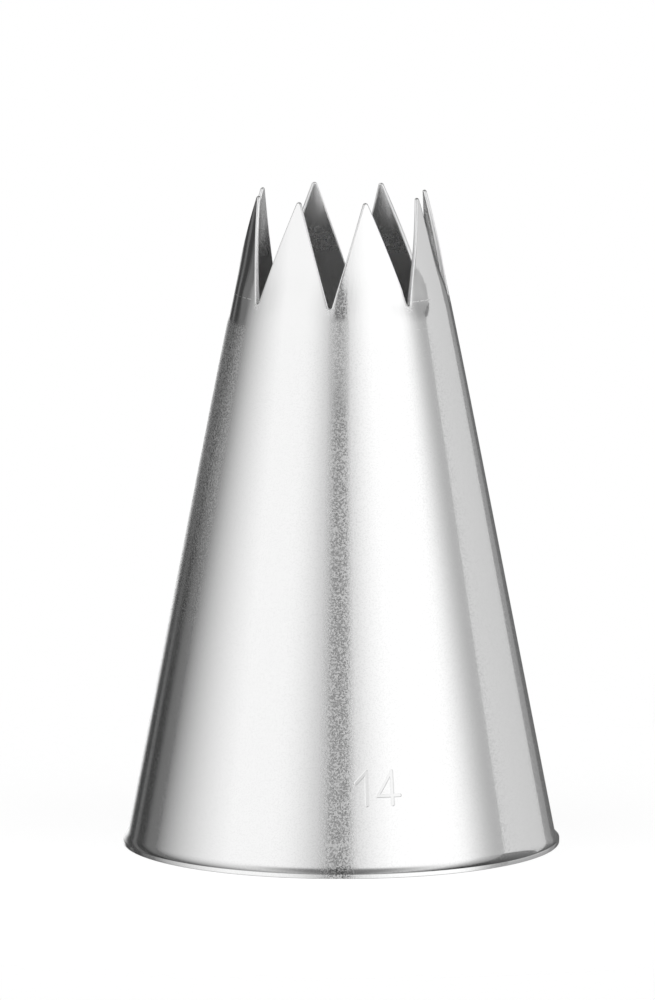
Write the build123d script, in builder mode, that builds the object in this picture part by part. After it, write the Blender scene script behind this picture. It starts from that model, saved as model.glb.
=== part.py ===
from build123d import *
import math
import os

# Open star piping nozzle
# The whole nozzle is one piece of thin stainless sheet: a blank is deep-drawn into a
# seamless cone, its wide end is flared out into a small lip and trimmed there, and its
# narrow end is cut into eight pointed teeth that lean a little further inwards.
# The axis is +Z, the origin is the middle of the plane that the lip stands on, and the
# front is -Y. Lengths are millimetres and angles are degrees.

# Sizes of the cone, over the outside of the sheet
nozzle_height = 52.7
foot_diameter = 34.8
throat_diameter = 17.5
mouth_diameter = 14.0
sheet_thickness = 0.4

# Sizes of the lip at the wide end: the wall flares out by a part turn to its upright cut edge
flare_radius = 1.1
flare_turn = 41.0
lip_edge_height = 0.38
lip_corner_radius = 0.06

# Sizes of the star at the narrow end
tooth_count = 8
first_notch_turn = -6.0
tooth_height = 8.25
tooth_tip_width = 0.3
tooth_tip_radius = 0.1
notch_root_radius = 0.16

# The notch cutter runs past the metal by this much
cut_overrun = 1.0

# The foot is where the cone meets the ground, and the throat is level with the notch roots
foot_radius = foot_diameter / 2
throat_radius = throat_diameter / 2
mouth_radius = mouth_diameter / 2
throat_height = nozzle_height - tooth_height

# The wall leans, so a level cut through it is wider than the sheet is thick
cone_lean = (foot_radius - throat_radius) / throat_height
crown_lean = (throat_radius - mouth_radius) / tooth_height
cone_across = sheet_thickness * math.hypot(1, cone_lean)
crown_across = sheet_thickness * math.hypot(1, crown_lean)

# The flare bends the sheet about a point outside the wall, and ends at the top of the cut edge
cone_angle = math.atan(cone_lean)
flare_end_angle = cone_angle + math.radians(flare_turn)
flare_drop = flare_radius * (math.sin(flare_end_angle) - math.sin(cone_angle))
flare_reach = flare_radius * (math.cos(cone_angle) - math.cos(flare_end_angle))
flare_start_height = lip_edge_height + flare_drop
flare_start_radius = foot_radius - cone_lean * flare_start_height
lip_radius = flare_start_radius + flare_reach
flare_centre_radius = flare_start_radius + flare_radius * math.cos(cone_angle)
flare_centre_height = flare_start_height + flare_radius * math.sin(cone_angle)

# On the inside of the sheet the same bend runs on until it meets the ground
inner_flare_radius = flare_radius + sheet_thickness
inner_end_angle = math.asin(flare_centre_height / inner_flare_radius)
arc_start = 180 + math.degrees(cone_angle)
inner_flare_turn = math.degrees(inner_end_angle - cone_angle)

# A notch is a narrow V with a round root, as wide at the mouth as the teeth leave it
tooth_tip_half_angle = math.asin(tooth_tip_width / 2 / mouth_radius)
notch_half_angle = math.pi / tooth_count - tooth_tip_half_angle
notch_half_width = mouth_radius * math.sin(notch_half_angle)
cutter_half_width = notch_half_width + tooth_tip_width
cutter_top = nozzle_height + cut_overrun

# Where the round root runs into the straight flank of the V
root_centre_height = throat_height + notch_root_radius
flank_rise = nozzle_height - root_centre_height
flank_reach = math.hypot(notch_half_width, flank_rise)
flank_angle = math.atan2(notch_half_width, flank_rise) - math.asin(notch_root_radius / flank_reach)
flank_foot_width = notch_root_radius * math.cos(flank_angle)
flank_foot_height = root_centre_height - notch_root_radius * math.sin(flank_angle)

# Cutter for one notch, standing over the front of the cone
with BuildPart() as notch_cutter:
    with BuildSketch(Plane.XZ) as notch_outline:
        with BuildLine():
            root = ThreePointArc(
                (-flank_foot_width, flank_foot_height),
                (0, throat_height),
                (flank_foot_width, flank_foot_height),
            )
            Polyline(
                root @ 1,
                (notch_half_width, nozzle_height),
                (cutter_half_width, nozzle_height),
                (cutter_half_width, cutter_top),
                (-cutter_half_width, cutter_top),
                (-cutter_half_width, nozzle_height),
                (-notch_half_width, nozzle_height),
                root @ 0,
            )
        make_face()
        # Each point of the star is a little round
        for side in (-notch_half_width, notch_half_width):
            tip_corner = notch_outline.vertices().sort_by_distance((side, nozzle_height))[0]
            fillet(tip_corner, radius=tooth_tip_radius)
    extrude(amount=throat_radius + cut_overrun)

# Nozzle shell: cone, lip and teeth in one seamless sheet
with BuildPart() as nozzle_shell:
    # Section of the sheet, closed by its cut edge and its underside at the wide end
    with BuildSketch(Plane.XZ) as wall_section:
        with BuildLine():
            flare_centre = (flare_centre_radius, flare_centre_height)
            flare_outside = CenterArc(flare_centre, flare_radius, arc_start, flare_turn)
            flare_inside = CenterArc(flare_centre, inner_flare_radius, arc_start, inner_flare_turn)
            Polyline(flare_outside @ 1, (lip_radius, 0), flare_inside @ 1)
            Polyline(
                flare_outside @ 0,
                (throat_radius, throat_height),
                (mouth_radius, nozzle_height),
                (mouth_radius - crown_across, nozzle_height),
                (throat_radius - cone_across, throat_height),
                flare_inside @ 0,
            )
        make_face()
        fillet(wall_section.vertices().group_by(Axis.X)[-1], radius=lip_corner_radius)
    revolve(axis=Axis.Z)

    # Notches between the teeth
    with PolarLocations(0, tooth_count, start_angle=first_notch_turn):
        add(notch_cutter.part, mode=Mode.SUBTRACT)

nozzle_shell.part.label = "nozzle_shell"
os.makedirs("parts", exist_ok=True)
export_step(nozzle_shell.part, "parts/nozzle_shell.step")
print("nozzle shell volume in cubic millimetres:", round(nozzle_shell.part.volume, 1))
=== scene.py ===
import math
from itertools import accumulate

import bmesh
import bpy
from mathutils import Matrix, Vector


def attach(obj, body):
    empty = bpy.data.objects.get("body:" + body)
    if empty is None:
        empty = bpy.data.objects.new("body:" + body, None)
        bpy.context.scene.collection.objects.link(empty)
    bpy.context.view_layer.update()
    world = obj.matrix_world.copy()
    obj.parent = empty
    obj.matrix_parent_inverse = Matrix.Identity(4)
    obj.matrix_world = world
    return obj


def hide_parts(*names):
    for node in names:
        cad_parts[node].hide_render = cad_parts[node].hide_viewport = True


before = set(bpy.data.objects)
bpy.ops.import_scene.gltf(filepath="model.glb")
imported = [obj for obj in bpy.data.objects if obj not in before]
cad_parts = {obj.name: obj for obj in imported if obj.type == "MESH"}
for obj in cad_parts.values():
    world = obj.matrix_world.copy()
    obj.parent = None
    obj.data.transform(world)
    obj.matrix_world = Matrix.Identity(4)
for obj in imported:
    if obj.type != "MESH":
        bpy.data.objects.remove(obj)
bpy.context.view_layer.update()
MM = 0.001


# Camera
# It stands about a metre in front of the nozzle with a long lens, ten degrees above the
# ground, and aims a little above and to the left of the nozzle's middle.
LONG_SIDE_PX = 1000
LENS_PX = 13500
FAR_CLIP_M = 10
camera_elevation = math.radians(10.0)
camera_distance = 1090 * MM
camera_aim = Vector((-1.1, 0, 27.8)) * MM

camera_data = bpy.data.cameras.new("camera")
camera_data.lens = LENS_PX / LONG_SIDE_PX * camera_data.sensor_width
camera_data.clip_end = FAR_CLIP_M
camera = bpy.data.objects.new("camera", camera_data)
bpy.context.scene.collection.objects.link(camera)
camera.location = camera_distance * Vector(
    (0, -math.cos(camera_elevation), math.sin(camera_elevation))
)
camera.rotation_euler = (camera_aim - camera.location).to_track_quat("-Z", "Y").to_euler()
bpy.context.scene.camera = camera
bpy.context.scene.view_settings.view_transform = "Standard"


# Nozzle shell
# The one piece of the object: thin stainless sheet, deep-drawn into a seamless cone, flared
# and trimmed at the wide end, and cut at the narrow end into eight teeth that are pressed
# a little inwards. The cut edges are tumbled until they are just round to the touch.
foot_radius = 17.4 * MM
throat_radius = 8.75 * MM
mouth_radius = 7.0 * MM
nozzle_height = 52.7 * MM
tooth_height = 8.25 * MM
sheet_thickness = 0.4 * MM
tip_thickness = 0.28 * MM
flare_radius = 1.1 * MM
flare_turn = math.radians(41)
lip_edge_height = 0.35 * MM
lip_corner_radius = 0.06 * MM
notch_root_radius = 0.16 * MM
tooth_tip_radius = 0.2 * MM
cut_edge_round = 0.06 * MM
tip_edge_round = 0.125 * MM
neck_height = 38.0 * MM
neck_bend_length = 2.5 * MM
tooth_flatness = 0.24
tooth_count = 8
first_notch_turn = math.radians(-6)

# What the press has done to each notch or tooth, in millimetres. They count to the right from
# the front notch.
PINCH_AT_NOTCH = (0.02, 0.13, 0.02, 0.01, 0.01, 0.01, 0, 0.03)
CURL_OF_TOOTH = (0, 0.24)
SIDEWAYS_LEAN_OF_TOOTH = (-0.03, 0, 0.1, -0.07, -0.21, -0.28, -0.02, -0.08)
BACKWARDS_LEAN_OF_TOOTH = (0, 0, 0, 0.3, 0.3, 0.15, 0, 0)

# Rows of faces along the sheet's section, and across a tooth and its cut face. The rows of the
# cone crowd towards the teeth by this power.
ROOT_ROWS, FLANK_ROWS, TIP_ROWS = 8, 20, 7
TOOTH_ROWS = ROOT_ROWS + FLANK_ROWS + TIP_ROWS
CONE_ROWS, FLARE_ROWS, CORNER_ROWS, EDGE_ROWS = 44, 12, 4, 2
TOOTH_COLUMNS = 30
ROUND_COLUMNS, FLAT_COLUMNS = 4, 3
ROW_CROWDING = 1.6


class Wire:
    """A node's output. A sum written with it in Python becomes Math nodes in its tree."""

    def __init__(self, bench, socket):
        self.bench = bench
        self.socket = socket

    def output(self, name):
        return Wire(self.bench, self.socket.node.outputs[name])

    def math(self, operation, *others):
        sockets = dict(enumerate((self, *others)))
        return self.bench.node("ShaderNodeMath", {"operation": operation}, sockets)

    def __add__(self, other):
        return self.math("ADD", other)

    def __radd__(self, other):
        return self.math("ADD", other)

    def __sub__(self, other):
        return self.math("SUBTRACT", other)

    def __rsub__(self, other):
        return self.math("MULTIPLY_ADD", -1, other)

    def __mul__(self, other):
        return self.math("MULTIPLY", other)

    def __rmul__(self, other):
        return self.math("MULTIPLY", other)

    def __truediv__(self, other):
        return self.math("DIVIDE", other)

    def __rtruediv__(self, other):
        return self.math("POWER", -1) * other

    def __pow__(self, other):
        return self.math("POWER", other)


def sin(wire):
    return wire.math("SINE")


def cos(wire):
    return wire.math("COSINE")


def largest(wire, other):
    return wire.math("MAXIMUM", other)


def smallest(wire, other):
    return wire.math("MINIMUM", other)


def share(wire, start, length):
    """How far along a stretch of rows a row is, from 0 before it to 1 after it."""
    return smallest(largest((wire - start) / length, 0), 1)


class Bench:
    """A node tree in the making. One method makes every node."""

    def __init__(self, tree):
        self.tree = tree

    def node(self, kind, settings=(), sockets=(), output=0):
        made = self.tree.nodes.new(kind)
        for name, value in dict(settings).items():
            setattr(made, name, value)
        for key, value in dict(sockets).items():
            if isinstance(value, Wire):
                self.tree.links.new(value.socket, made.inputs[key])
            else:
                made.inputs[key].default_value = value
        return Wire(self, made.outputs[output]) if made.outputs else made

    def smooth_rise(self, value, start, end):
        """0 before start and 1 after end, with a smooth rise between them."""
        sockets = {"Value": value, "From Min": start, "From Max": end}
        return self.node("ShaderNodeMapRange", {"interpolation_type": "SMOOTHSTEP"}, sockets)

    def xyz(self, vector):
        apart = self.node("ShaderNodeSeparateXYZ", {}, {0: vector})
        return apart, apart.output("Y"), apart.output("Z")

    def vector(self, x, y, z):
        return self.node("ShaderNodeCombineXYZ", {}, {0: x, 1: y, 2: z})


shell_tree = bpy.data.node_groups.new("nozzle_shell_shape", "GeometryNodeTree")
shell_tree.is_modifier = True
shell_tree.interface.new_socket("Shell", in_out="OUTPUT", socket_type="NodeSocketGeometry")
shell_sizes = {
    "Foot Radius": foot_radius,
    "Throat Radius": throat_radius,
    "Mouth Radius": mouth_radius,
    "Height": nozzle_height,
    "Tooth Height": tooth_height,
    "Sheet Thickness": sheet_thickness,
    "Tip Thickness": tip_thickness,
    "Flare Radius": flare_radius,
    "Flare Turn": flare_turn,
    "Lip Edge Height": lip_edge_height,
    "Lip Corner Radius": lip_corner_radius,
    "Notch Root Radius": notch_root_radius,
    "Tooth Tip Radius": tooth_tip_radius,
    "Cut Edge Round": cut_edge_round,
    "Tip Edge Round": tip_edge_round,
    "Neck Height": neck_height,
    "Neck Bend Length": neck_bend_length,
    "Tooth Flatness": tooth_flatness,
    "First Notch Turn": first_notch_turn,
    "Tooth Count": tooth_count,
}
for size_name in shell_sizes:
    socket_kind = "NodeSocketInt" if size_name == "Tooth Count" else "NodeSocketFloat"
    shell_tree.interface.new_socket(size_name, in_out="INPUT", socket_type=socket_kind)
shell_tree.interface.new_socket("Sheet", in_out="INPUT", socket_type="NodeSocketMaterial")

shell = Bench(shell_tree)
given = shell.node("NodeGroupInput")
foot, throat, mouth = (given.output(f"{part} Radius") for part in ("Foot", "Throat", "Mouth"))
height, count = given.output("Height"), given.output("Tooth Count")
root_radius, tip_radius = given.output("Notch Root Radius"), given.output("Tooth Tip Radius")
flare, corner = given.output("Flare Radius"), given.output("Lip Corner Radius")
thickness, neck_level = given.output("Sheet Thickness"), given.output("Neck Height")
half_sector = math.pi / count
throat_height = height - given.output("Tooth Height")
cone_lean = (foot - throat) / throat_height
neck = foot - neck_level * cone_lean
crown_lean = (neck - mouth) / (height - neck_level)
cone_angle = cone_lean.math("ARCTANGENT")
across_sheet = thickness / cos(cone_angle)


def outer_radius(level):
    """The outside of the sheet: a cone that bends a little further inwards at the neck."""
    above = level - neck_level
    bend = given.output("Neck Bend Length")
    turned_in = (above + (above * above + bend * bend).math("SQRT")) / 2
    return foot - level * cone_lean - turned_in * (crown_lean - cone_lean)


def across_wall(level):
    """How far the sheet reaches inwards. It is drawn thinner towards the tips of the teeth."""
    towards_tip = share(level, throat_height, given.output("Tooth Height"))
    return across_sheet * (1 - towards_tip * (1 - given.output("Tip Thickness") / thickness))


def edge_round(row):
    """How round the cut edges are: more at a tooth's tip than at the root of a notch."""
    at_root, at_tip = given.output("Cut Edge Round"), given.output("Tip Edge Round")
    return at_root + share(row, ROOT_ROWS, FLANK_ROWS) * (at_tip - at_root)


# The flank of a notch touches the round of its root below and the round of the tip above
root_centre = throat_height + root_radius
tip_centre_width = mouth * sin(half_sector)
tip_centre = height - tip_radius
centres_rise = tip_centre - root_centre
centres_apart = (tip_centre_width * tip_centre_width + centres_rise * centres_rise).math("SQRT")
both_rounds = root_radius + tip_radius
flank_angle = tip_centre_width.math("ARCTAN2", centres_rise) - (both_rounds / centres_apart).math(
    "ARCSINE"
)
flank_length = (centres_apart * centres_apart - both_rounds * both_rounds).math("SQRT")
round_turn = math.pi / 2 - flank_angle


def notch_edge(row, set_back):
    """Half the notch's width and the height at a row, this far into the metal from the cut."""
    along_root = share(row, 0, ROOT_ROWS) * round_turn
    along_flank = share(row, ROOT_ROWS, FLANK_ROWS) * flank_length
    left_of_tip = (1 - share(row, ROOT_ROWS + FLANK_ROWS, TIP_ROWS)) * round_turn
    root, tip = root_radius + set_back, tip_radius - set_back
    half_width = (
        root * sin(along_root)
        + along_flank * sin(flank_angle)
        + tip * (cos(flank_angle) - sin(left_of_tip))
    )
    level = (
        root_centre
        - root * cos(along_root)
        + along_flank * cos(flank_angle)
        + tip * (cos(left_of_tip) - sin(flank_angle))
    )
    return half_width, level


def turn_to_cut(row, half_width, radius, into_wall):
    """The turn from a tooth's middle to its cut face, which is square to the sheet at the tip
    and flat, as the notch's cutter leaves it, further down."""
    towards_tip = share(row, ROOT_ROWS, FLANK_ROWS) ** 3
    return half_sector - (half_width / (radius + towards_tip * into_wall)).math("ARCSINE")


def set_on_cone(grid, radius, turn, level):
    """Moves a grid's points to a radius, a turn from the front and a height."""
    place = shell.vector(radius * sin(turn), radius * cos(turn) * -1, level)
    return shell.node("GeometryNodeSetPosition", {}, {"Geometry": grid, "Position": place})


grid_x, grid_y, grid_z = shell.xyz(shell.node("GeometryNodeInputPosition"))

# Section of the sheet, row by row: down the outside, round the lip and up the inside
flare_end = cone_angle + given.output("Flare Turn")
flare_start = given.output("Lip Edge Height") + flare * (sin(flare_end) - sin(cone_angle))
flare_start_radius = foot - cone_lean * flare_start
lip_radius = flare_start_radius + flare * (cos(cone_angle) - cos(flare_end))
flare_centre_radius = flare_start_radius + flare * cos(cone_angle)
flare_centre = flare_start + flare * sin(cone_angle)
inner_flare = flare + thickness
inner_end = (flare_centre / inner_flare).math("ARCSINE")
corner_start = ((flare_centre_radius - lip_radius + corner) / (flare + corner)).math("ARCCOSINE")
corner_centre = flare_centre - (flare + corner) * sin(corner_start)
root_row_level = throat_height - given.output("Cut Edge Round")

stretches = {
    "outer tooth": TOOTH_ROWS,
    "outer cone": CONE_ROWS,
    "flare": FLARE_ROWS,
    "upper corner": CORNER_ROWS,
    "cut edge": EDGE_ROWS,
    "lower corner": CORNER_ROWS,
    "underside": EDGE_ROWS,
    "inner flare": FLARE_ROWS,
    "inner cone": CONE_ROWS,
    "inner tooth": TOOTH_ROWS,
}
first_row = dict(zip(stretches, accumulate(stretches.values(), initial=0)))
section_rows = sum(stretches.values())
section_row = (grid_y + section_rows / 2).math("ROUND")
along = {name: share(section_row, first_row[name], stretches[name]) for name in stretches}

tooth_row = (1 - along["outer tooth"] + along["inner tooth"]) * TOOTH_ROWS
notch_half_width, sheet_level = notch_edge(tooth_row, edge_round(tooth_row))
flare_at = cone_angle + along["flare"] * (corner_start - cone_angle)
upper_at = (1 - along["upper corner"]) * corner_start
lower_at = along["lower corner"] * (math.pi / 2)
inner_at = inner_end + along["inner flare"] * (cone_angle - inner_end)
outer_drop = along["outer cone"] ** ROW_CROWDING
inner_rise = 1 - (1 - along["inner cone"]) ** ROW_CROWDING
wall_level = (
    sheet_level
    - outer_drop * (root_row_level - flare_start)
    - flare * (sin(flare_at) - sin(cone_angle))
    + corner * (sin(upper_at) - sin(corner_start))
    - along["cut edge"] * (corner_centre - corner)
    - corner * sin(lower_at)
    + inner_flare * (sin(inner_end) - sin(inner_at))
    + inner_rise * (root_row_level - flare_start + thickness * sin(cone_angle))
)
lip_section = (
    flare_centre_radius
    - flare * cos(flare_at)
    + corner * (cos(upper_at) - cos(corner_start))
    + corner * (cos(lower_at) - 1)
    - along["underside"]
    * (lip_radius - corner - flare_centre_radius + inner_flare * cos(inner_end))
    + inner_flare * (cos(inner_end) - cos(inner_at))
)
on_outside = section_row.math("LESS_THAN", first_row["flare"] + 0.5)
on_inside = section_row.math("GREATER_THAN", first_row["inner cone"] - 0.5)
wall_depth = on_inside * across_wall(wall_level)
wall_radius = (on_outside + on_inside) * (outer_radius(wall_level) - wall_depth)
wall_radius = wall_radius + (1 - on_outside - on_inside) * lip_section
below_tip = tooth_row.math("LESS_THAN", TOOTH_ROWS - 0.5)
half_turn = below_tip * turn_to_cut(tooth_row, notch_half_width, wall_radius, wall_depth)
wall_grid = shell.node(
    "GeometryNodeMeshGrid",
    {},
    {
        "Size X": 2,
        "Size Y": section_rows,
        "Vertices X": TOOTH_COLUMNS + 1,
        "Vertices Y": section_rows + 1,
    },
)
wall = set_on_cone(wall_grid, wall_radius, grid_x * half_turn, wall_level)

# Cut face of a tooth, from the root of one notch over the tip to the root of the next
cut_columns = 2 * ROUND_COLUMNS + FLAT_COLUMNS
cut_column = (grid_x + cut_columns / 2).math("ROUND")
cut_row = grid_y.math("ROUND")
outer_round = share(cut_column, 0, ROUND_COLUMNS) * (math.pi / 2)
inner_round = share(cut_column, ROUND_COLUMNS + FLAT_COLUMNS, ROUND_COLUMNS) * (math.pi / 2)
row_up_tooth = TOOTH_ROWS - cut_row.math("ABSOLUTE")
rounding = edge_round(row_up_tooth)
cut_set_back = rounding * (2 - sin(outer_round) - cos(inner_round))
cut_half_width, cut_level = notch_edge(row_up_tooth, cut_set_back)
flat_depth = across_wall(cut_level) - rounding * 2
cut_depth = rounding * (1 - cos(outer_round) + sin(inner_round))
cut_depth = cut_depth + share(cut_column, ROUND_COLUMNS, FLAT_COLUMNS) * flat_depth
cut_radius = outer_radius(cut_level) - cut_depth
cut_turn = turn_to_cut(row_up_tooth, cut_half_width, cut_radius, cut_depth)
cut_grid = shell.node(
    "GeometryNodeMeshGrid",
    {},
    {
        "Size X": cut_columns,
        "Size Y": 2 * TOOTH_ROWS,
        "Vertices X": cut_columns + 1,
        "Vertices Y": 2 * TOOTH_ROWS + 1,
    },
)
cut_face = set_on_cone(cut_grid, cut_radius, cut_row.math("SIGN") * cut_turn, cut_level)


def marked(geometry, name, value):
    """Stores how much of a finish the faces of a surface have, for the material to read."""
    sockets = {"Geometry": geometry, "Name": name, "Value": value}
    settings = {"data_type": "FLOAT", "domain": "FACE"}
    return shell.node("GeometryNodeStoreNamedAttribute", settings, sockets)


# One tooth and the wall below it, repeated round the axis
sector = shell.node("GeometryNodeJoinGeometry")
for surface, cut in ((wall, 0.0), (cut_face, 1.0)):
    shell_tree.links.new(marked(surface, "cut_face", cut).socket, sector.socket.node.inputs[0])
middles = shell.node("GeometryNodeMeshLine", {}, {"Count": count, "Offset": (0, 0, 0)})
index = shell.node("GeometryNodeInputIndex")
sector_turn = given.output("First Notch Turn") + (index + 0.5) * (half_sector * 2)
turned = shell.node("FunctionNodeEulerToRotation", {}, {0: shell.vector(0, 0, sector_turn)})
around = shell.node(
    "GeometryNodeInstanceOnPoints",
    {},
    {"Points": middles, "Instance": sector, "Rotation": turned},
)
sectors = shell.node("GeometryNodeRealizeInstances", {}, {0: around})
joined = shell.node("GeometryNodeMergeByDistance", {}, {"Geometry": sectors, "Distance": 1e-6})

# Pressed inwards, a tooth is flatter than the cone, and its edges stay where the cone is
from_first_notch = grid_x.math("ARCTAN2", grid_y * -1) - given.output("First Notch Turn")
tooth_turns = from_first_notch / (half_sector * 2)
off_middle = (tooth_turns.math("FRACT") - 0.5) * (half_sector * 2)
above_throat = grid_z - throat_height
up_tooth = share(above_throat, 0, given.output("Tooth Height"))
edge_turn = half_sector * (1 - up_tooth)
pressed = shell.smooth_rise(above_throat, 0.6 * MM, 3.5 * MM)
pressed_in = edge_turn * edge_turn - off_middle * off_middle
pressed_in = pressed_in * pressed * given.output("Tooth Flatness") / 2


def of_each(number, values):
    """The value of this tooth or notch, in metres, from each one's value in millimetres."""
    counted = number.math("FLOORED_MODULO", count)
    own = (counted.math("COMPARE", i, 0.1) * value for i, value in enumerate(values) if value)
    return sum(own) * MM


# The press has pinched the sheet beside each notch, further up on the notch's right
nearest = tooth_turns.math("ROUND")
beside = (tooth_turns - nearest) * (half_sector * 2)
near = 1 - shell.smooth_rise(beside.math("ABSOLUTE"), math.radians(7), math.radians(19))
fades_at = (1.5 + beside.math("GREATER_THAN", 0) * 3.5) * MM
pinched = shell.smooth_rise(above_throat, -1.1 * MM, 0.4 * MM) * near
pinched = pinched * (1 - shell.smooth_rise(above_throat, 0.5 * MM, fades_at))
pinch = pinched * of_each(nearest, PINCH_AT_NOTCH)

# The tooth on the right is curled a little inwards along its far edge
tooth_number = tooth_turns.math("FLOOR")
towards_edge = off_middle / (edge_turn + math.radians(1.5))
curled = shell.smooth_rise(towards_edge, 0.35, 1) * of_each(tooth_number, CURL_OF_TOOTH)
curled = curled * share(up_tooth, 0.05, 0.3) * (1 - share(up_tooth, 0.75, 0.25))
inwards = pressed_in + (pinch + curled) / throat

# No two teeth lean quite alike, which shows most at the tips
bent = up_tooth * up_tooth
sideways = of_each(tooth_number, SIDEWAYS_LEAN_OF_TOOTH) * bent
backwards = of_each(tooth_number, BACKWARDS_LEAN_OF_TOOTH) * bent
moved = shell.vector(sideways - grid_x * inwards, backwards - grid_y * inwards, 0)
formed = shell.node("GeometryNodeSetPosition", {}, {"Geometry": joined, "Offset": moved})
smooth = shell.node("GeometryNodeSetShadeSmooth", {}, {"Geometry": formed})
finished = shell.node(
    "GeometryNodeSetMaterial", {}, {"Geometry": smooth, "Material": given.output("Sheet")}
)
shell_tree.links.new(finished.socket, shell_tree.nodes.new("NodeGroupOutput").inputs[0])

# The steel is a neutral grey, and polished but for its pits, lines, edges and inside. Brightness
# and roughness run from 0 to 1, and the relief's heights are in metres.
STEEL_GREY = 0.78
POLISHED_ROUGHNESS = 0.05
MICRON = 1e-6
press_line_height = 44.72 * MM
lower_press_line_height = 42.55 * MM

steel = bpy.data.materials.new("polished_stainless_sheet")
steel.use_nodes = True
finish = Bench(steel.node_tree)
principled = steel.node_tree.nodes["Principled BSDF"]
principled.inputs["Metallic"].default_value = 1
spot = finish.node("ShaderNodeTexCoord").output("Object")
spot_x, spot_y, spot_z = finish.xyz(spot)
facing_x, facing_y, _ = finish.xyz(spot.output("Normal"))
from_axis = (spot_x * spot_x + spot_y * spot_y).math("SQRT")
round_from_front = spot_x.math("ARCTAN2", spot_y * -1)


def noise(place, grain_mm, detail=2.0):
    """Soft random specks from 0 to 1, with grains of this size in millimetres."""
    sockets = {"Vector": place, "Scale": 1 / (grain_mm * MM), "Detail": detail}
    return finish.node("ShaderNodeTexNoise", {}, sockets)


def band(value, middle, half_width, soft):
    """1 within a half width of the middle and 0 outside, with soft edges."""
    off = (value - middle).math("ABSOLUTE")
    return 1 - finish.smooth_rise(off, half_width, half_width + soft)


# Fine pits between the polished parts scatter a little of the light, least on the crown. They
# are coarser down the front and along the left side, where the sheet is less polished. Under
# the teeth, and up the left side, it is matt between them too.
grain = noise(spot, 0.13, 3.0)
coarse_grain = noise(spot, 0.15, 1.0)
degrees_round = round_from_front * (180 / math.pi)
up_side = finish.smooth_rise(spot_z, 6 * MM, 34 * MM)
up_side = up_side * (1 - finish.smooth_rise(spot_z, 42.3 * MM, 43 * MM))
under_teeth = finish.smooth_rise(spot_z, 32 * MM, 41 * MM)
under_teeth = under_teeth * (1 - finish.smooth_rise(spot_z, 43.2 * MM, 44.2 * MM))
down_front = band(degrees_round, -1.2, 4, 2.5)
left_side = band(degrees_round, -77, 17, 7)
less_polished = down_front * (1 - under_teeth * 0.4) + left_side * (0.3 + up_side)
matt_between = largest(down_front * under_teeth * 0.22, left_side * up_side * 0.2)
on_crown = finish.smooth_rise(spot_z, 40 * MM, 45 * MM)
pits = finish.smooth_rise(grain, 0.44, 0.6)
coarse_pits = finish.smooth_rise(coarse_grain, 0.47, 0.57) * less_polished
pitted = largest(pits * (0.19 - on_crown * 0.12), coarse_pits * (0.3 - on_crown * 0.1))
pitted = largest(pitted, matt_between * (0.85 + pits * 0.6))
patches = noise(spot, 0.45)
unpolished = (spot_x * facing_x + spot_y * facing_y).math("LESS_THAN", 0)

# Lines that the press has drawn down the teeth, and fine rubbed lines where it stopped. They
# show in these stretches round the nozzle: middle, half width and soft edge, in degrees.
drawn_lines = noise(finish.vector(spot_x, spot_y, spot_z * 0.03), 0.3) * on_crown
RUBBED_STRETCHES = ((-69, 12, 4), (-1, 4, 1), (49, 7, 1), (118, 16, 5), (-150, 12, 5))
rubbed = sum(band(degrees_round, *stretch) for stretch in RUBBED_STRETCHES)
press_line = band(spot_z, press_line_height, 0.02 * MM, 0.035 * MM)
lower_press_line = band(spot_z, lower_press_line_height, 0.015 * MM, 0.03 * MM)
press_stop = largest(press_line, lower_press_line * 0.5)
press_stop = press_stop * finish.smooth_rise(patches, 0.4, 0.54) * rubbed

# Burrs that tumbling has left under the roots of the notches
one_tooth = 2 * math.pi / tooth_count
notch_turns = (round_from_front - first_notch_turn) / one_tooth
beside_root = (notch_turns - notch_turns.math("ROUND")) * one_tooth * from_axis
below_root = spot_z - (nozzle_height - tooth_height - 0.12 * MM)
from_root = (beside_root * beside_root + below_root * below_root).math("SQRT")
burrs = finish.smooth_rise(noise(spot, 0.16), 0.4, 0.55)
burrs = burrs * (1 - finish.smooth_rise(from_root, 0.18 * MM, 0.6 * MM))

# The size mark, a plain 14 for the mouth in millimetres, is etched matt into the front.
# Each stroke runs between two points of the unrolled cone, in millimetres.
MARK_STROKES = (
    ((1.19, 7.42), (2.04, 8.3)),
    ((2.04, 8.3), (2.04, 5.7)),
    ((4.09, 8.3), (2.9, 6.4)),
    ((2.9, 6.4), (4.7, 6.4)),
    ((4.09, 8.3), (4.09, 5.7)),
)
mark_height = 7 * MM
mark_lowest_radius = 15.5 * MM
mark_lean = (foot_radius - throat_radius) / (nozzle_height - tooth_height)
mark_x = round_from_front * (foot_radius - mark_lean * mark_height) / MM
mark_z = spot_z / MM
from_stroke = None
for (x0, z0), (x1, z1) in MARK_STROKES:
    run_x, run_z = x1 - x0, z1 - z0
    passed = ((mark_x - x0) * run_x + (mark_z - z0) * run_z) / (run_x**2 + run_z**2)
    passed = smallest(largest(passed, 0), 1)
    off_x, off_z = mark_x - x0 - passed * run_x, mark_z - z0 - passed * run_z
    away = (off_x * off_x + off_z * off_z).math("SQRT")
    from_stroke = away if from_stroke is None else smallest(from_stroke, away)
on_outside_face = from_axis.math("GREATER_THAN", mark_lowest_radius)
etched = (1 - finish.smooth_rise(from_stroke, 0.1, 0.155)) * on_outside_face

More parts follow.
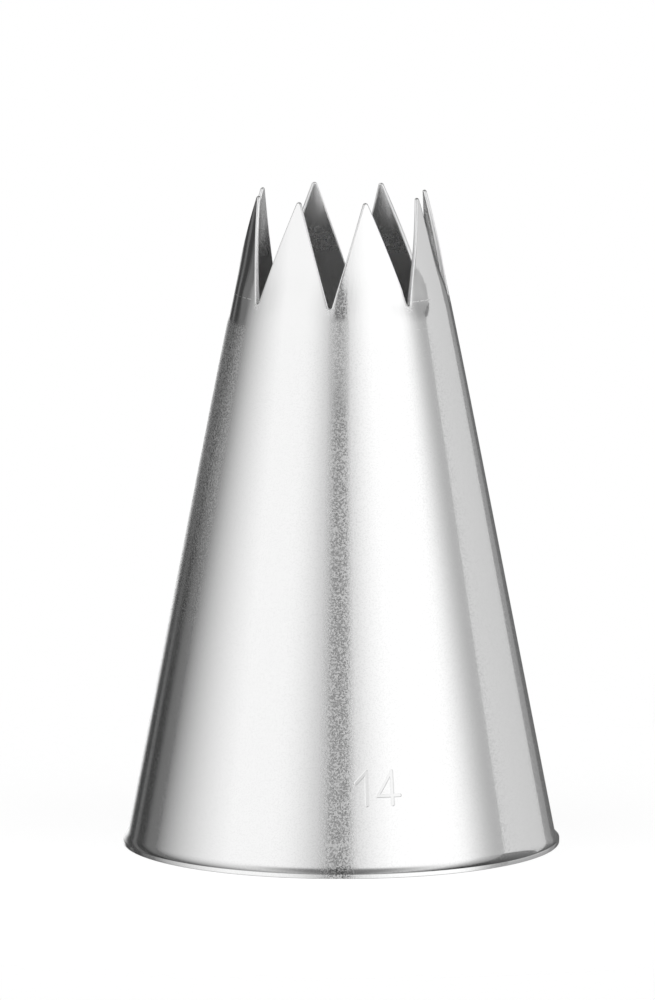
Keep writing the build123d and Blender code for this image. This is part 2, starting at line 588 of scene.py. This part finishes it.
# What is matt, on the cut edges, lines, burrs and mark, is also a little paler or greyer
on_cut_face = finish.node("ShaderNodeAttribute", {"attribute_name": "cut_face"}, {}, "Fac")
paler = largest(largest(on_cut_face, press_stop), burrs)
roughness = POLISHED_ROUGHNESS + largest(pitted, largest(paler * 0.31, etched * 0.18))
near_tips = finish.smooth_rise(spot_z, 46 * MM, 49.5 * MM)
roughness = largest(roughness, unpolished * (0.3 + pits * 0.1 - near_tips * 0.13))
steel.node_tree.links.new(roughness.socket, principled.inputs["Roughness"])
grey = STEEL_GREY + paler * 0.12 - etched * 0.03
steel.node_tree.links.new(grey.socket, principled.inputs["Base Color"])
relief = grain * (0.8 * MICRON) + coarse_grain * less_polished * (4 * MICRON)
relief = relief + drawn_lines * (3.5 * MICRON) - etched * (18 * MICRON)
bump = finish.node("ShaderNodeBump", {}, {"Distance": 1, "Height": relief})
steel.node_tree.links.new(bump.socket, principled.inputs["Normal"])

nozzle = bpy.data.objects.new("nozzle_shell_skin", bpy.data.meshes.new("nozzle_shell_skin"))
bpy.context.scene.collection.objects.link(nozzle)
drawn = nozzle.modifiers.new("shape", "NODES")
drawn.node_group = shell_tree
for item in shell_tree.interface.items_tree:
    if item.in_out == "INPUT":
        drawn[item.identifier] = steel if item.name == "Sheet" else shell_sizes[item.name]
bpy.context.view_layer.update()
evaluated = nozzle.evaluated_get(bpy.context.evaluated_depsgraph_get())
drawn_mesh = bpy.data.meshes.new_from_object(evaluated)
nozzle.modifiers.remove(drawn)
nozzle.data = drawn_mesh

# The grids face both ways, so every face is turned outwards here
skin = bmesh.new()
skin.from_mesh(drawn_mesh)
bmesh.ops.dissolve_degenerate(skin, dist=1e-7, edges=skin.edges)
bmesh.ops.recalc_face_normals(skin, faces=skin.faces)
skin.to_mesh(drawn_mesh)
skin.free()
drawn_mesh.set_sharp_from_angle(angle=math.radians(40))

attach(nozzle, "root")
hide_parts("nozzle_shell")


# Studio
# A white room that the nozzle mirrors: a tall soft light on each side of the camera, hottest
# in its middle, a pale card and grey flags further round, and a white wall behind.
world = bpy.data.worlds.new("studio")
bpy.context.scene.world = world
world.use_nodes = True
world.node_tree.nodes.clear()
room = Bench(world.node_tree)
east, north, up = room.xyz(room.node("ShaderNodeTexCoord").output("Generated"))
azimuth = east.math("ARCTAN2", north * -1) * (180 / math.pi)
elevation = up.math("ARCSINE") * (180 / math.pi)


def panel(start, end, brightness, soft_start=2.0, soft_end=2.0):
    """A panel between two azimuths in degrees, with edges this soft."""
    rise = room.smooth_rise(azimuth, start - soft_start / 2, start + soft_start / 2)
    fall = room.smooth_rise(azimuth, end - soft_end / 2, end + soft_end / 2)
    return rise * (1 - fall) * brightness


def softbox(hottest, brightness, left_fall, right_fall):
    """A soft light that falls off as a parabola, by these shares of its light in 10 degrees."""
    off = (azimuth - hottest) / 10
    left = smallest(off, 0)
    right = largest(off, 0)
    return largest(brightness - (left * left * left_fall + right * right * right_fall), 0)


# Azimuths run from the front to the right, and below 0 to the left. The card stands to the
# right of the nozzle, between these two.
CARD_START, CARD_END = 98.3, 143.7
left_softbox = smallest(softbox(-33, 1.27, 0.0151, 0), softbox(-40, 1.137, 0, 0.0567))
left_softbox = left_softbox * panel(-118, -7, 1, 4, 3)
dimmed = room.smooth_rise(elevation, 6.5, 13) * 0.22
dimmed = dimmed + 0.3 - room.smooth_rise(elevation, 2.8, 4.6) * 0.3
dimmed = dimmed * room.smooth_rise(azimuth, 72, 84)
dim_edge = panel(4.5, CARD_START, 0.5, 4, 1) * (1 - dimmed)
right_softbox = softbox(36, 0.77, 0.054, 0) * panel(4.5, 79.5, 1, 4, 32) + dim_edge
camera_gap = panel(-7, 5.7, 0.29, 2, 3) * (1 - room.smooth_rise(elevation, 12, 20) * 0.56)
camera_gap = camera_gap * (1 + sin(azimuth * 2) * 0.45)
camera_gap = camera_gap * (0.25 + room.smooth_rise(elevation, -9, -2) * 0.75)
grey_flag = panel(-131, -117, 0.132, 8, 4)
flag_seam = panel(-149, -143, 0.12, 2, 3)
past_card_edge = azimuth - 98
card_top = 8.5 + past_card_edge * 0.14 + past_card_edge * past_card_edge * 0.005
below_top = 1 - room.smooth_rise(elevation - card_top, 0, 1)
card = (0.97 - azimuth * 0.0021) * panel(CARD_START, CARD_END, 1, 1, 2) * below_top
card = card * (0.6 + room.smooth_rise(elevation, -9, -3) * 0.4)
over_card = panel(CARD_START, CARD_END, 0.2, 1, 2) * (1 - room.smooth_rise(elevation, 12, 60))
right_flag = largest(panel(143, 156.5, 0.28, 2, 4), panel(156, 170, 0.1))
right_flag = right_flag * (1 - room.smooth_rise(elevation, 7, 15) * 0.65)
backdrop = largest(
    (1 - room.smooth_rise(azimuth, -169, -157)) * 1.1,
    room.smooth_rise(azimuth, 167, 186) * 0.7,
)
backdrop = backdrop * (1 - room.smooth_rise(elevation, 14, 40) * 0.85)
sides = right_softbox
for part in (left_softbox, camera_gap, grey_flag, flag_seam, card, over_card, right_flag, backdrop):
    sides = largest(sides, part)
over_camera = 1 - room.smooth_rise((azimuth - 2).math("ABSOLUTE"), 20, 80)
over_camera = over_camera * room.smooth_rise(elevation, 28, 50) * 0.74
room_light = sides * (1 - over_camera) * (1 - up * up) ** 0.28 + 0.055
table_glow = 1 - room.smooth_rise(elevation, -45, -15)
room_light = largest(room_light, table_glow * 0.9)

# The nozzle mirrors the room, and the camera sees plain white behind the nozzle
WHITE = (1, 1, 1, 1)
mirrored = room.node("ShaderNodeBackground", {}, {"Color": WHITE, "Strength": room_light})
plain = room.node("ShaderNodeBackground", {}, {"Color": WHITE, "Strength": 1})
seen = room.node("ShaderNodeLightPath").output("Is Camera Ray")
shown = room.node("ShaderNodeMixShader", {}, {0: seen, 1: mirrored, 2: plain})
room.node("ShaderNodeOutputWorld", {}, {0: shown})

lamp_data = bpy.data.lights.new("overhead_softbox", "AREA")
lamp_data.shape = "DISK"
lamp_data.size = 0.2
lamp_data.energy = 2.2
lamp = bpy.data.objects.new("overhead_softbox", lamp_data)
lamp.location = (0, 0, 0.55)
lamp.visible_camera = False
lamp.visible_glossy = False
bpy.context.scene.collection.objects.link(lamp)


# Floor
# A matt white table top under the nozzle, lit from within, which runs out into the white
# of the room. In what the nozzle mirrors, only the part that it stands on is there, painted a
# darker grey as shade.
floor_radius = 120 * MM
white_radius = 30 * MM
clear_radius = 90 * MM
covered_radius = 17.6 * MM
disc = bmesh.new()
bmesh.ops.create_circle(disc, cap_ends=True, segments=96, radius=floor_radius)
floor_mesh = bpy.data.meshes.new("floor")
disc.to_mesh(floor_mesh)
disc.free()
floor = bpy.data.objects.new("floor", floor_mesh)
bpy.context.scene.collection.objects.link(floor)
table_top = bpy.data.materials.new("matt_white_table")
table_top.use_nodes = True
table_top.node_tree.nodes.clear()
top = Bench(table_top.node_tree)
flat_x, flat_y, _ = top.xyz(top.node("ShaderNodeTexCoord").output("Object"))
from_middle = (flat_x * flat_x + flat_y * flat_y).math("SQRT")
runs_out = top.smooth_rise(from_middle, white_radius, clear_radius)
under_nozzle = from_middle.math("LESS_THAN", covered_radius)
matt_white = top.node("ShaderNodeBsdfDiffuse", {}, {"Color": (0.9, 0.9, 0.9, 1)})
glow = top.node("ShaderNodeEmission", {}, {"Color": WHITE, "Strength": 1})
clear = top.node("ShaderNodeBsdfTransparent")
lit_top = top.node("ShaderNodeMixShader", {}, {0: 0.6, 1: matt_white, 2: glow})
shown_top = top.node("ShaderNodeMixShader", {}, {0: runs_out, 1: lit_top, 2: clear})
# Painted shade: under the nozzle the table top is a darker grey than where the camera sees it
painted_shade_under_nozzle = top.node("ShaderNodeBsdfDiffuse", {}, {"Color": (0.5, 0.5, 0.5, 1)})
mirrored_top = top.node("ShaderNodeMixShader", {}, {0: under_nozzle, 1: clear, 2: painted_shade_under_nozzle})
from_camera = top.node("ShaderNodeLightPath").output("Is Camera Ray")
table_mix = top.node("ShaderNodeMixShader", {}, {0: from_camera, 1: mirrored_top, 2: shown_top})
top.node("ShaderNodeOutputMaterial", {}, {0: table_mix})
floor_mesh.materials.append(table_top)
